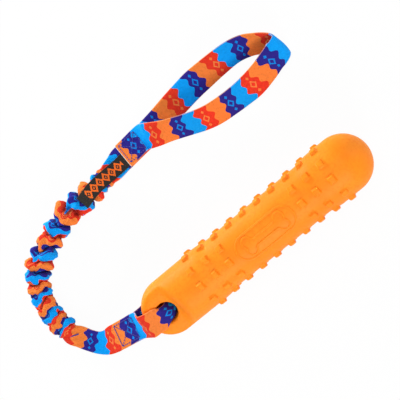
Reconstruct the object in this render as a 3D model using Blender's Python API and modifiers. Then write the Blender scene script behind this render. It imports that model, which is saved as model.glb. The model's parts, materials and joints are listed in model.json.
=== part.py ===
"""Dog training dummy: a studded foam rubber bar on a gathered webbing tug with a hand loop. Metres, +Z up.

It lies as it rests on a table. +X runs along the rubber bar to its domed end, and the hand loop is on
the +Y side.
"""

import math

import bmesh
import bpy
from mathutils import Matrix, Vector

MM = 0.001
GAP = 0.3 * MM

# Rubber bar
END_RADIUS = 25.6 * MM
WAIST_RADIUS = 23.8 * MM
DOME_CENTRE_X = 95 * MM
TAB_ROUND_CENTRE_X = -101 * MM
WAIST_FROM_X = -38 * MM
WAIST_TO_X = 61 * MM
WAIST_BLEND = 15 * MM
DOME_STEPS = 9
BAR_SIDES = 40

# Nubs: rows along the bar, rings round it, with a bare panel in the three rows that face up
NUB_ROWS = 10
NUB_RINGS = 10
FIRST_RING_X = -59.4 * MM
RING_PITCH = 16 * MM
NUB_BASE = 6.2 * MM
NUB_TOP = 4.6 * MM
NUB_HEIGHT = 2.5 * MM
NUB_ROOT = 1.2 * MM
PANEL_ROWS = (0, 1, 9)
PANEL_RINGS = range(3, 7)
ROLL = math.radians(18)

# Tab with its hole, at the strap's end of the bar
TAB_HALF_THICKNESS = 12.5 * MM
TAB_ROLL = math.radians(24)
SHOULDER_FROM_X = -94 * MM
SHOULDER_TO_X = -79 * MM
HOLE_X = -103.5 * MM
HOLE_RADIUS = 9.6 * MM
HOLE_FLARE = 2 * MM
HOLE_SIDES = 28

# Webbing
WEB_WIDTH = 25 * MM
WEB_THICKNESS = 2 * MM
LAYER_PITCH = WEB_THICKNESS + GAP
THREAD = 0.9 * MM
THREAD_HEIGHT = 0.5 * MM
STITCH_INSET = 2 * MM

# Loop through the tab
BIGHT_WIDTH = 15.5 * MM
BIGHT_DEPTH = 10 * MM
BIGHT_INSET = 2 * MM
LOWER_BOX_NEAR = Vector((-137, 4.1, 26.5)) * MM
LOWER_BOX_FAR = Vector((-163.5, 9.4, 17.5)) * MM
LOWER_BOX_ACROSS = 79

# Hand loop's box stitch: the lower layer's middle at the cut end and at the far end
UPPER_BOX_CUT = Vector((-62.2, 137.3, 1.0)) * MM
UPPER_BOX_FAR = Vector((-37.2, 138.7, 1.0)) * MM
UPPER_BOX_RISE = 3.2 * MM
UPPER_BOX_ACROSS = 93

# Gathered part, and the elastic cord in it
SLEEVE_ROUTE = [
    Vector(point) * MM
    for point in (
        (-202.9, 42.2, 11.6), (-206.5, 56, 11.6), (-207.9, 70, 11.6), (-206.2, 84.5, 11.6),
        (-200.4, 98, 11.6), (-190.5, 108.5, 11.6), (-177, 116.5, 11.6), (-162, 122, 11.6),
        (-146, 126.4, 11.6), (-129, 128.9, 11.6), (-112, 129.9, 11.6), (-95.5, 130.4, 11.2),
    )
]
PUFFS = 14
PUFF_CROWD = 0.07
WAIST_OF_PUFF = 6.9 * MM
PUFF_RISE = 4.0 * MM
FOLD_RISE = 0.5 * MM
SLEEVE_RINGS = 92
SLEEVE_SIDES = 14
BORE_RADIUS = 4.7 * MM
BORE_RINGS = 24
CORE_RADIUS = 4 * MM
CORE_POINTS = 26
TACK_LENGTH = 11 * MM
LOWER_TACK_AT = Vector((-199.6, 36.6, 18.0)) * MM
UPPER_TACK_AT = Vector((-93.0, 130.6, 18.2)) * MM

# Woven label
LABEL_WIDTH = 14.5 * MM
LABEL_THICKNESS = 0.7 * MM

# Joint axes
SWING_X = -119.8 * MM
BEND_AT = Vector((-186, 17, 11)) * MM
FLOP_AT = Vector((-64.6, 137.1, 1.0)) * MM
LABEL_ROOT = Vector((-62.8, 134.3, 2.75)) * MM


def empty_scene():
    for thing in list(bpy.data.objects):
        bpy.data.objects.remove(thing, do_unlink=True)


def collection(name):
    made = bpy.data.collections.new(name)
    bpy.context.scene.collection.children.link(made)
    return made


def material(name, colour, roughness, metallic=0.0):
    made = bpy.data.materials.new(name)
    made.use_nodes = True
    shader = made.node_tree.nodes["Principled BSDF"]
    shader.inputs["Base Color"].default_value = (*colour, 1)
    shader.inputs["Roughness"].default_value = roughness
    shader.inputs["Metallic"].default_value = metallic
    made.diffuse_color = (*colour, 1)
    return made


def add(name, mesh, group, finish=None):
    thing = bpy.data.objects.new(name, mesh)
    group.objects.link(thing)
    if finish:
        mesh.materials.append(finish)
    return thing


def guide(thing):
    thing.hide_render = True
    thing.display_type = "WIRE"
    return thing


def mesh_from(bm, name):
    bmesh.ops.recalc_face_normals(bm, faces=bm.faces)
    mesh = bpy.data.meshes.new(name)
    bm.to_mesh(mesh)
    bm.free()
    return mesh


def smooth(thing, degrees=40):
    thing.data.shade_smooth()
    thing.data.set_sharp_from_angle(angle=math.radians(degrees))


def boolean(thing, other, operation):
    step = thing.modifiers.new(operation.lower(), "BOOLEAN")
    step.operation = operation
    step.solver = "EXACT"
    step.object = other


def ease(value):
    held = min(max(value, 0.0), 1.0)
    return held * held * (3 - 2 * held)


def between(low, high, share):
    return low + (high - low) * share


def tab_normal():
    return Vector((0, -math.sin(TAB_ROLL), math.cos(TAB_ROLL)))


def nub_lowest():
    """How far the nubs at the bar's ends reach below its axis, where two rows carry it."""
    reach = END_RADIUS + NUB_HEIGHT
    return reach * math.cos(math.radians(18)) + NUB_TOP / 2 * math.sin(math.radians(18))


AXIS_Z = nub_lowest()


def bar_radius(x):
    into = ease((x - (WAIST_FROM_X - WAIST_BLEND)) / WAIST_BLEND)
    out = ease((x - WAIST_TO_X) / WAIST_BLEND)
    return END_RADIUS - (END_RADIUS - WAIST_RADIUS) * (into - out)


def bar_mesh():
    """The turned bar as half an outline along Z, to be spun by a Screw modifier and laid along X."""
    outline = []
    for i in range(DOME_STEPS + 1):
        angle = math.pi / 2 * (1 - i / DOME_STEPS)
        outline.append((END_RADIUS * math.cos(angle), DOME_CENTRE_X + END_RADIUS * math.sin(angle)))
    for i in range(9):
        x = between(WAIST_TO_X + WAIST_BLEND, WAIST_FROM_X - WAIST_BLEND, i / 8)
        outline.append((bar_radius(x), x))
    for i in range(DOME_STEPS + 1):
        angle = math.pi / 2 * i / DOME_STEPS
        outline.append((END_RADIUS * math.cos(angle), TAB_ROUND_CENTRE_X - END_RADIUS * math.sin(angle)))
    bm = bmesh.new()
    points = [bm.verts.new((max(radius, 0.0), 0, height)) for radius, height in outline]
    for first, second in zip(points, points[1:]):
        bm.edges.new((first, second))
    mesh = bpy.data.meshes.new("dummy_body")
    bm.to_mesh(mesh)
    bm.free()
    return mesh


def spin(thing, sides):
    screw = thing.modifiers.new("turned", "SCREW")
    screw.axis = "Z"
    screw.steps = sides
    screw.render_steps = sides
    screw.use_merge_vertices = True
    screw.merge_threshold = 0.00005
    screw.use_smooth_shade = True


def nub_field():
    """All the nubs as square frustums whose roots sink into the bar."""
    bm = bmesh.new()
    for ring in range(NUB_RINGS):
        x = FIRST_RING_X + ring * RING_PITCH
        for row in range(NUB_ROWS):
            if row in PANEL_ROWS and ring in PANEL_RINGS:
                continue
            turn = ROLL + row * 2 * math.pi / NUB_ROWS
            middle = bar_radius(x) + (NUB_HEIGHT - NUB_ROOT) / 2
            place = (
                Matrix.Translation((x, 0, AXIS_Z))
                @ Matrix.Rotation(turn, 4, "X")
                @ Matrix.Translation((0, 0, middle))
                @ Matrix.Rotation(math.pi / 4, 4, "Z")
            )
            slope = (NUB_BASE - NUB_TOP) / NUB_HEIGHT
            root = NUB_BASE + slope * NUB_ROOT
            bmesh.ops.create_cone(
                bm, cap_ends=True, segments=4, radius1=root / math.sqrt(2), radius2=NUB_TOP / math.sqrt(2),
                depth=NUB_HEIGHT + NUB_ROOT, matrix=place,
            )
    return mesh_from(bm, "nub_field")


def tab_cutter(side):
    """A block with a soft shoulder that leaves one flat of the tab. side is 1 above and -1 below."""
    past = 60 * MM
    outline = [(-past * 3, past), (-past * 3, TAB_HALF_THICKNESS)]
    steps = 8
    for i in range(steps + 1):
        x = between(SHOULDER_FROM_X, SHOULDER_TO_X, i / steps)
        outline.append((x, between(TAB_HALF_THICKNESS, END_RADIUS + MM, ease(i / steps))))
    outline.append((SHOULDER_TO_X, past))
    bm = bmesh.new()
    face = bm.faces.new([bm.verts.new((x, -past, side * z)) for x, z in outline])
    grown = bmesh.ops.extrude_face_region(bm, geom=[face])["geom"]
    moved = [part for part in grown if isinstance(part, bmesh.types.BMVert)]
    bmesh.ops.translate(bm, verts=moved, vec=(0, 2 * past, 0))
    return mesh_from(bm, "tab_cutter")


def hole_cutter():
    """Half the outline of the hole through the tab, with eased mouths, to be turned round its axis."""
    past = 8 * MM
    deep = 1.5 * HOLE_FLARE
    steps = 4
    outline = [(0, TAB_HALF_THICKNESS + past), (HOLE_RADIUS + HOLE_FLARE, TAB_HALF_THICKNESS + past)]
    for i in range(steps + 1):
        angle = math.pi / 2 * i / steps
        radius = HOLE_RADIUS + HOLE_FLARE * (1 - math.sin(angle))
        outline.append((radius, TAB_HALF_THICKNESS + 0.05 * MM - deep * (1 - math.cos(angle))))
    outline += [(radius, -height) for radius, height in reversed(outline)]
    bm = bmesh.new()
    points = [bm.verts.new((radius, 0, height)) for radius, height in outline]
    for first, second in zip(points, points[1:]):
        bm.edges.new((first, second))
    mesh = bpy.data.meshes.new("hole_cutter")
    bm.to_mesh(mesh)
    bm.free()
    return mesh


def dummy_body(parts, cutters, rubber):
    body = add("dummy_body", bar_mesh(), parts, rubber)
    body.location = (0, 0, AXIS_Z)
    body.rotation_euler = (0, math.pi / 2, 0)
    spin(body, BAR_SIDES)
    for side in (1, -1):
        flat = guide(add("tab_cutter", tab_cutter(side), cutters))
        flat.location = (0, 0, AXIS_Z)
        flat.rotation_euler = (TAB_ROLL, 0, 0)
        boolean(body, flat, "DIFFERENCE")
    hole = guide(add("hole_cutter", hole_cutter(), cutters))
    hole.location = (HOLE_X, 0, AXIS_Z)
    hole.rotation_euler = (TAB_ROLL, 0, 0)
    spin(hole, HOLE_SIDES)
    boolean(body, hole, "DIFFERENCE")
    nubs = guide(add("nub_field", nub_field(), cutters))
    boolean(body, nubs, "UNION")
    return body


def through(values, share):
    """A smooth (Catmull-Rom) value through a list of numbers or vectors, share running from 0 to 1."""
    spans = len(values) - 1
    at = min(max(share, 0.0), 1.0) * spans
    i = min(int(at), spans - 1)
    f = at - i
    p1 = values[i]
    p2 = values[i + 1]
    p0 = values[i - 1] if i else p1 * 2 - p2
    p3 = values[i + 2] if i + 2 < len(values) else p2 * 2 - p1
    return (p1 * 2 + (p2 - p0) * f + (p0 * 2 - p1 * 5 + p2 * 4 - p3) * f * f
            + (p1 * 3 - p0 - p2 * 3 + p3) * f * f * f) * 0.5


def station(x, y, z, across, tilt, width=WEB_WIDTH, thickness=WEB_THICKNESS, bow=0.0):
    """One place on a webbing's middle line, in mm, with its width's angle in plan and tilt out of level.

    bow is how far the middle of the width stands out of the line between the edges.
    """
    turn = math.radians(across)
    rise = math.radians(tilt)
    side = Vector((math.cos(turn) * math.cos(rise), math.sin(turn) * math.cos(rise), math.sin(rise)))
    place = Vector((x, y, z)) * MM
    return {"middle": place, "side": side, "width": width, "thickness": thickness, "bow": bow * MM}


def rounded_section(width, thickness, bow):
    corner = 0.45 * thickness
    half = width / 2
    high = thickness / 2
    third = width / 6
    outline = [
        (half, high - corner), (half - corner, high), (third, high),
        (-third, high), (corner - half, high), (-half, high - corner),
        (-half, corner - high), (corner - half, -high), (-third, -high),
        (third, -high), (half - corner, -high), (half, corner - high),
    ]
    return [(x, z + bow * (1 - (x / half) ** 2)) for x, z in outline]


def ribbon_mesh(name, stations, rings):
    """A closed strip of webbing lofted along its stations."""
    track = {key: [one[key] for one in stations] for key in ("middle", "side", "width", "thickness", "bow")}
    step = 0.001
    bm = bmesh.new()
    loops = []
    for i in range(rings + 1):
        share = i / rings
        middle = through(track["middle"], share)
        ahead = through(track["middle"], min(share + step, 1))
        ahead -= through(track["middle"], max(share - step, 0))
        ahead.normalize()
        side = through(track["side"], share)
        side = (side - ahead * side.dot(ahead)).normalized()
        up = ahead.cross(side)
        section = rounded_section(*(through(track[key], share) for key in ("width", "thickness", "bow")))
        loops.append([bm.verts.new(middle + side * a + up * b) for a, b in section])
    count = len(loops[0])
    for first, second in zip(loops, loops[1:]):
        for k in range(count):
            bm.faces.new((first[k], first[(k + 1) % count], second[(k + 1) % count], second[k]))
    bm.faces.new(loops[0])
    bm.faces.new(loops[-1])
    return mesh_from(bm, name)


def ribbon(name, stations, rings, parts, finish):
    strip = add(name, ribbon_mesh(name, stations, rings), parts, finish)
    smooth(strip)
    return strip


def box_layer(start, end, offset, across, width=WEB_WIDTH):
    """Stations along a sewn box from start to end, offset along the box's own upward normal."""
    ahead = (end - start).normalized()
    side = Vector((math.cos(math.radians(across)), math.sin(math.radians(across)), 0))
    side = (side - ahead * side.dot(ahead)).normalized()
    up = ahead.cross(side)
    if up.z < 0:
        up.negate()
    rows = []
    for share in (0.0, 0.5, 1.0):
        rows.append({"middle": start.lerp(end, share) + up * offset, "side": side, "width": width,
                     "thickness": WEB_THICKNESS, "bow": 0.0})
    return rows


def loop_through_tab(parts, finish):
    """Webbing from the lower box stitch over the tab, down through its hole, and back beneath."""
    up = tab_normal()
    out = (LOWER_BOX_NEAR - Vector((HOLE_X, 0, LOWER_BOX_NEAR.z))).normalized()
    out = (out - up * out.dot(up)).normalized()
    side = up.cross(out)
    if side.y < 0:
        side.negate()
    rim = Vector((HOLE_X - HOLE_RADIUS + BIGHT_INSET, 0, AXIS_Z))
    clear = TAB_HALF_THICKNESS + 2 * GAP + WEB_THICKNESS / 2

    def at(along, height, width):
        return {"middle": rim + out * along + up * height, "side": side, "width": width,
                "thickness": WEB_THICKNESS, "bow": 0.0}

    upper = box_layer(LOWER_BOX_FAR, LOWER_BOX_NEAR, LAYER_PITCH / 2, LOWER_BOX_ACROSS)
    lower = box_layer(LOWER_BOX_NEAR, LOWER_BOX_FAR, -LAYER_PITCH / 2, LOWER_BOX_ACROSS)
    over = [at(18.5 * MM, clear * 0.62, 24.5 * MM), at(13.5 * MM, clear * 0.98, 24 * MM),
            at(7 * MM, clear + 0.2 * MM, 23 * MM)]
    bight = []
    turns = 8
    for i in range(turns + 1):
        angle = math.pi * i / turns
        bight.append(at(-BIGHT_DEPTH * math.sin(angle), clear * math.cos(angle),
                        between(21 * MM, BIGHT_WIDTH, ease(1.6 * math.sin(angle)))))
    under = [at(7 * MM, -clear - 0.2 * MM, 23 * MM), at(13.5 * MM, -clear * 0.98, 24 * MM),
             at(18.5 * MM, -clear * 0.62, 24.5 * MM)]
    return ribbon("dummy_loop", upper + over + bight + under + lower, 66, parts, finish)


def box_stitch(name, start, end, offset, across, parts, finish):
    """Thread that frames a sewn box and crosses it, as one flat grid on the upper layer."""
    length = (end - start).length - 2 * STITCH_INSET
    width = WEB_WIDTH - 2 * STITCH_INSET
    curve = bpy.data.curves.new(name, "CURVE")
    curve.dimensions = "2D"
    curve.fill_mode = "BOTH"
    curve.extrude = THREAD_HEIGHT / 2

    def outline(points):
        spline = curve.splines.new("POLY")
        spline.points.add(len(points) - 1)
        for target, (x, y) in zip(spline.points, points):
            target.co = (x, y, 0, 1)
        spline.use_cyclic_u = True

    half = length / 2
    high = width / 2
    outline([(-half, -high), (half, -high), (half, high), (-half, high)])
    inner = half - THREAD
    tall = high - THREAD
    apex_x = THREAD * math.hypot(inner, tall) / tall / 2
    apex_y = THREAD * math.hypot(inner, tall) / inner / 2
    for turn in (1, -1):
        beside = tall - apex_y
        above = inner - apex_x
        outline([(turn * apex_x, 0), (turn * inner, -turn * beside), (turn * inner, turn * beside)])
        outline([(0, turn * apex_y), (turn * above, turn * tall), (-turn * above, turn * tall)])
    stitched = bpy.data.objects.new(name, curve)
    parts.objects.link(stitched)
    curve.materials.append(finish)
    layer = box_layer(start, end, offset, across)
    ahead = (end - start).normalized()
    side = layer[1]["side"]
    up = ahead.cross(side)
    frame = Matrix((ahead, side, up)).transposed().to_4x4()
    stitched.matrix_world = Matrix.Translation(layer[1]["middle"]) @ frame
    return stitched


def mouth(share, away, across, width, thickness):
    """A webbing station square to the gathered tube's end at share, and away from it along the tube."""
    end = SLEEVE_ROUTE[0] if share < 0.5 else SLEEVE_ROUTE[-1]
    inner = SLEEVE_ROUTE[1] if share < 0.5 else SLEEVE_ROUTE[-2]
    middle = end + (end - inner).normalized() * away
    return station(middle.x / MM, middle.y / MM, middle.z / MM, across, 0, width, thickness)


def lower_run(parts, finish):
    """Webbing between the lower box stitch and the gathers, with its sideways bend."""
    ahead = (LOWER_BOX_FAR - LOWER_BOX_NEAR).normalized()
    top = box_layer(LOWER_BOX_NEAR, LOWER_BOX_FAR, LAYER_PITCH / 2, LOWER_BOX_ACROSS)
    first = dict(top[-1])
    first["middle"] = first["middle"] + ahead * GAP
    second = dict(first)
    second["middle"] = first["middle"] + ahead * 5 * MM
    rows = [
        first, second,
        station(-176.5, 12.2, 13.6, 70, 0, 23 * MM, 2.2 * MM),
        station(-184.5, 17.0, 12.0, 55, 2, 21 * MM, 2.8 * MM),
        station(-191.2, 24.4, 11.3, 40, 3, 20.5 * MM, 3.8 * MM),
        station(-196.8, 32.4, 11.3, 25, 2, 20.5 * MM, 6.5 * MM),
        mouth(0, 4 * MM, 15, 19.8 * MM, 10.5 * MM),
        mouth(0, GAP, 15, 19.5 * MM, 13 * MM),
    ]
    return ribbon("lower_run", rows, 26, parts, finish)


def neck(parts, finish):
    """Webbing between the gathers and the hand loop's box stitch, opening from flat to round."""
    box = (UPPER_BOX_FAR - UPPER_BOX_CUT).normalized()
    last = UPPER_BOX_CUT - box * GAP
    straight = last - box * 4.5 * MM
    before = station(straight.x / MM, straight.y / MM, straight.z / MM, UPPER_BOX_ACROSS, 0)
    rows = [
        mouth(1, 1.5 * GAP, 92, 19.5 * MM, 13 * MM),
        station(-92.0, 130.5, 11.0, 92, 0, 19.7 * MM, 11.8 * MM),
        station(-88.6, 131.2, 9.4, 93, 0, 20.2 * MM, 9.4 * MM),
        station(-84.8, 132.2, 6.9, 95, 0, 21.2 * MM, 6.6 * MM),
        station(-80.2, 133.5, 4.3, 96, 0, 22.4 * MM, 4.0 * MM),
        station(-74.0, 135.2, 2.0, 97, 0, 23.5 * MM, 2.5 * MM),
        before,
        station(last.x / MM, last.y / MM, last.z / MM, UPPER_BOX_ACROSS, 0),
    ]
    return ribbon("neck_webbing", rows, 28, parts, finish)


def hand_loop(parts, finish):
    """Webbing of the hand loop: out along the floor, folded over at the far end, and back on top."""
    rows = box_layer(UPPER_BOX_CUT, UPPER_BOX_FAR, 0, UPPER_BOX_ACROSS)
    rows += [
        station(-15, 140.2, 1.9, 93, 4), station(5, 142.2, 3.1, 94, 9), station(28, 144.0, 4.6, 94, 14),
        station(44.3, 143.3, 7.5, 90, 31), station(60.4, 142.4, 9.4, 86, 40),
        station(76.1, 141.1, 10.1, 83, 45), station(89.3, 137.2, 10.4, 79, 46),
        station(99.4, 131.1, 10.5, 80, 48),
        station(107.4, 124.9, 10.5, 87, 47, bow=-1.6), station(112.3, 119.5, 11.4, 94, 44, bow=-3),
        station(111.8, 114.8, 13.4, 98, 38, bow=-3.4), station(106.7, 112.0, 14.6, 100, 38, bow=-2.2),
        station(99.4, 110.4, 14.2, 98, 42, bow=-0.8), station(88.1, 108.1, 12.4, 98, 40),
        station(73.9, 106.3, 11.2, 96, 35), station(59.6, 106.4, 10.8, 92, 41),
        station(45.2, 107.4, 10.6, 86, 44), station(31, 109.3, 10.5, 76, 44),
        station(20, 112.3, 10.4, 70, 45), station(8, 117.1, 10.4, 67, 46),
        station(-3, 121.9, 10.4, 66, 46), station(-14, 126.9, 10.1, 68, 43),
        station(-24, 131.7, 8.9, 76, 30), station(-31, 135.6, 6.9, 86, 14),
    ]
    rows += box_layer(UPPER_BOX_FAR, UPPER_BOX_CUT, UPPER_BOX_RISE, UPPER_BOX_ACROSS)
    return ribbon("hand_loop", rows, 92, parts, finish)


def sleeve_frame(share):
    """Middle, direction, level side and upward side of the gathered tube at a share of its length."""
    step = 0.002
    middle = through(SLEEVE_ROUTE, share)
    ahead = through(SLEEVE_ROUTE, min(share + step, 1)) - through(SLEEVE_ROUTE, max(share - step, 0))
    ahead.normalize()
    side = Vector((-ahead.y, ahead.x, 0)).normalized()
    up = ahead.cross(side)
    return middle, side, up


def puff_phase(share):
    """Turns of the gathers' wave: crowded at the lower end, wider apart towards the hand loop."""
    crowded = share + PUFF_CROWD * math.sin(math.pi * share)
    return 2 * math.pi * PUFFS * crowded


def sleeve_radius(share, angle):
    lean = 0.8 * math.sin(7 * share + 1.1) * math.cos(angle - 0.6)
    wave = 0.5 - 0.5 * math.cos(puff_phase(share) + lean)
    end = ease(min(share, 1 - share) * 40)
    fold = math.sin(3 * angle + 9 * share) * math.sin(puff_phase(share) * 0.5)
    return WAIST_OF_PUFF + end * (PUFF_RISE * wave ** 0.75 + FOLD_RISE * fold)


def gathered_sleeve(parts, finish):
    """The webbing tube drawn up round the elastic: a closed form with its bore, lofted ring by ring."""
    bm = bmesh.new()

    def ring(share, radius_at):
        middle, side, up = sleeve_frame(share)
        made = []
        for k in range(SLEEVE_SIDES):
            angle = 2 * math.pi * k / SLEEVE_SIDES
            radius = radius_at(share, angle)
            place = middle + side * radius * math.cos(angle) + up * radius * math.sin(angle)
            made.append(bm.verts.new(place))
        return made

    loops = [ring(i / SLEEVE_RINGS, sleeve_radius) for i in range(SLEEVE_RINGS + 1)]
    loops += [ring(1 - i / BORE_RINGS, lambda share, angle: BORE_RADIUS) for i in range(BORE_RINGS + 1)]
    loops.append(loops[0])
    for first, second in zip(loops, loops[1:]):
        for k in range(SLEEVE_SIDES):
            after = (k + 1) % SLEEVE_SIDES
            bm.faces.new((first[k], first[after], second[after], second[k]))
    sleeve = add("bungee_sleeve", mesh_from(bm, "bungee_sleeve"), parts, finish)
    smooth(sleeve, 70)
    return sleeve


def elastic_core(parts, finish):
    curve = bpy.data.curves.new("elastic_core", "CURVE")
    curve.dimensions = "3D"
    curve.bevel_depth = CORE_RADIUS
    curve.bevel_resolution = 2
    curve.use_fill_caps = True
    spline = curve.splines.new("POLY")
    spline.points.add(CORE_POINTS - 1)
    for i, target in enumerate(spline.points):
        target.co = (*through(SLEEVE_ROUTE, i / (CORE_POINTS - 1)), 1)
    curve.materials.append(finish)
    core = bpy.data.objects.new("elastic_core", curve)
    parts.objects.link(core)
    return core


def tack(name, middle, across, parts, finish):
    """A short bar of thread that fixes the elastic cord's end through the webbing."""
    bm = bmesh.new()
    half = THREAD / 2
    bmesh.ops.create_cone(bm, cap_ends=True, segments=10, radius1=half, radius2=half, depth=TACK_LENGTH)
    bar = add(name, mesh_from(bm, name), parts, finish)
    bar.location = middle
    bar.rotation_euler = (math.pi / 2, 0, math.radians(across - 90))
    smooth(bar)
    return bar


def label(parts, finish):
    """The label's free length, from the box stitch's cut end down over the neck and the first gathers."""
    thin = LABEL_THICKNESS
    root = LABEL_ROOT / MM
    rows = [
        station(root.x, root.y, root.z, UPPER_BOX_ACROSS, 0, LABEL_WIDTH, thin),
        station(-68.5, 133.4, 3.6, 95, 0, LABEL_WIDTH, thin),
        station(-75, 132.4, 6.6, 97, 0, LABEL_WIDTH, thin),
        station(-82, 131.0, 11.6, 98, 0, LABEL_WIDTH, thin),
        station(-89, 129.4, 17.4, 99, 0, LABEL_WIDTH, thin),
        station(-96, 127.7, 21.8, 100, 0, LABEL_WIDTH, thin),
        station(-103.5, 125.8, 24.0, 101, 0, LABEL_WIDTH, thin),
        station(-113.5, 123.4, 24.3, 102, 0, LABEL_WIDTH, thin),
    ]
    return ribbon("woven_label", rows, 24, parts, finish)


def pivot(name, place, group, parent=None):
    made = bpy.data.objects.new(name, None)
    group.objects.link(made)
    made.location = place
    bpy.context.view_layer.update()
    if parent:
        hang(made, parent)
    return made


def hang(thing, parent):
    bpy.context.view_layer.update()
    thing.parent = parent
    thing.matrix_parent_inverse = parent.matrix_world.inverted()


def centre_on_floor(base, parts):
    """Moves everything so that the object's box is centred over the origin and stands on z = 0."""
    bpy.context.view_layer.update()
    graph = bpy.context.evaluated_depsgraph_get()
    corners = []
    for thing in parts.objects:
        if thing.type not in {"MESH", "CURVE"}:
            continue
        seen = thing.evaluated_get(graph)
        mesh = seen.to_mesh()
        corners += [seen.matrix_world @ vertex.co for vertex in mesh.vertices]
        seen.to_mesh_clear()
    low = [min(corner[axis] for corner in corners) for axis in range(3)]
    high = [max(corner[axis] for corner in corners) for axis in range(3)]
    base.location = (-(low[0] + high[0]) / 2, -(low[1] + high[1]) / 2, -low[2])
    bpy.context.view_layer.update()


def main():
    empty_scene()
    parts = collection("dog_training_dummy")
    cutters = collection("cutters")
    rubber = material("rubber", (1.0, 0.30, 0.02), 0.55)
    web_orange = material("printed_webbing_orange", (1.0, 0.22, 0.04), 0.7)
    web_cyan = material("printed_webbing_cyan", (0.0, 0.33, 1.0), 0.7)
    web_navy = material("printed_webbing_navy", (0.03, 0.02, 0.26), 0.7)
    web_red = material("printed_webbing_red", (0.85, 0.05, 0.02), 0.7)
    navy_thread = material("navy_thread", (0.02, 0.015, 0.16), 0.6)
    elastic = material("elastic_cord", (0.85, 0.85, 0.82), 0.65)
    label_black = material("label_black", (0.03, 0.02, 0.015), 0.75)

    base = pivot("resting_place", (0, 0, 0), parts)
    swing = pivot("strap_swing_axis", (SWING_X, 0, AXIS_Z), parts, base)
    bend = pivot("strap_bend_axis", BEND_AT, parts, swing)
    stretch = pivot("bungee_stretch_end", SLEEVE_ROUTE[-1], parts, bend)
    flop = pivot("handle_flop_axis", FLOP_AT, parts, stretch)
    flip = pivot("label_flip_axis", LABEL_ROOT, parts, stretch)

    hang(dummy_body(parts, cutters, rubber), base)
    for cutter in cutters.objects:
        hang(cutter, base)
    hang(loop_through_tab(parts, web_orange), swing)
    lower_top = LAYER_PITCH / 2 + WEB_THICKNESS / 2 + GAP + THREAD_HEIGHT / 2
    lower_box = (LOWER_BOX_FAR, LOWER_BOX_NEAR, lower_top, LOWER_BOX_ACROSS)
    hang(box_stitch("lower_box_stitch", *lower_box, parts, navy_thread), swing)
    hang(lower_run(parts, web_red), bend)
    hang(gathered_sleeve(parts, web_cyan), bend)
    hang(elastic_core(parts, elastic), bend)
    hang(tack("lower_core_tack", LOWER_TACK_AT, 160, parts, navy_thread), bend)
    hang(neck(parts, web_navy), stretch)
    hang(tack("upper_core_tack", UPPER_TACK_AT, 93, parts, navy_thread), stretch)
    hang(hand_loop(parts, web_orange), flop)
    upper_top = UPPER_BOX_RISE + WEB_THICKNESS / 2 + GAP + THREAD_HEIGHT / 2
    upper_box = (UPPER_BOX_CUT, UPPER_BOX_FAR, upper_top, UPPER_BOX_ACROSS)
    hang(box_stitch("handle_box_stitch", *upper_box, parts, navy_thread), flop)
    hang(label(parts, label_black), flip)
    centre_on_floor(base, parts)


main()
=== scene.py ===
import json
import math

import bmesh
import bpy
from mathutils import Matrix, Vector, noise


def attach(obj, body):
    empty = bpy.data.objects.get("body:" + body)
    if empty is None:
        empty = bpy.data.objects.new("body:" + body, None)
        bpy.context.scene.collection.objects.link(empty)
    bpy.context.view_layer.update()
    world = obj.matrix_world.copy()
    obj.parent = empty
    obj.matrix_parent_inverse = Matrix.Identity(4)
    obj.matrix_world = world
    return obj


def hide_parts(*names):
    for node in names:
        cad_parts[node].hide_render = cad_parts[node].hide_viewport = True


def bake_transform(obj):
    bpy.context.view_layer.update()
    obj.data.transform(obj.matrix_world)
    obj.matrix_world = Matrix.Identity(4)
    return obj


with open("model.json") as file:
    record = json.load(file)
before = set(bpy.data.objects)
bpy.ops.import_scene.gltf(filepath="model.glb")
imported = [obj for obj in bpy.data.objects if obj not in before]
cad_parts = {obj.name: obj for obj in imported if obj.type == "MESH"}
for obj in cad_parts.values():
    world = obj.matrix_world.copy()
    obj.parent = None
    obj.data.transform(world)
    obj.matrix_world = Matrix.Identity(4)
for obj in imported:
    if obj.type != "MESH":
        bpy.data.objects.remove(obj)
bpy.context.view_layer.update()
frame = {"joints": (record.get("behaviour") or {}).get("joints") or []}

MM = 0.001
JOINTS = {joint["name"]: joint for joint in frame["joints"]}

# The design frame has the bar's axis at y = 0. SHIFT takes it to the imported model's frame.
AXIS_Z = 27.4 * MM
BEND_AT = Vector((-186, 17, 11)) * MM
LABEL_ROOT = Vector((-62.8, 134.3, 2.75)) * MM
SHIFT = Vector(JOINTS["strap_bend"]["pos_m"]) - BEND_AT

END_RADIUS = 25.6 * MM
WAIST_RADIUS = 23.8 * MM
DOME_CENTRE_X = 95 * MM
TAB_ROUND_CENTRE_X = -101 * MM
WAIST_FROM_X = -38 * MM
WAIST_TO_X = 61 * MM
WAIST_BLEND = 15 * MM
NUB_ROWS = 10
NUB_RINGS = 10
FIRST_RING_X = -59.4 * MM
RING_PITCH = 16 * MM
PANEL_ROWS = (0, 1, 9)
PANEL_RINGS = range(3, 7)
PANEL_X = 12.6 * MM
ROLL = math.radians(18)
TAB_HALF_THICKNESS = 12.5 * MM
TAB_ROLL = math.radians(24)
SHOULDER_FROM_X = -95 * MM
SHOULDER_TO_X = -78 * MM
EDGE_SOFTNESS = 5.5 * MM
HOLE_X = -103.5 * MM
HOLE_RADIUS = 9.6 * MM
HOLE_FLARE = 2 * MM

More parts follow.
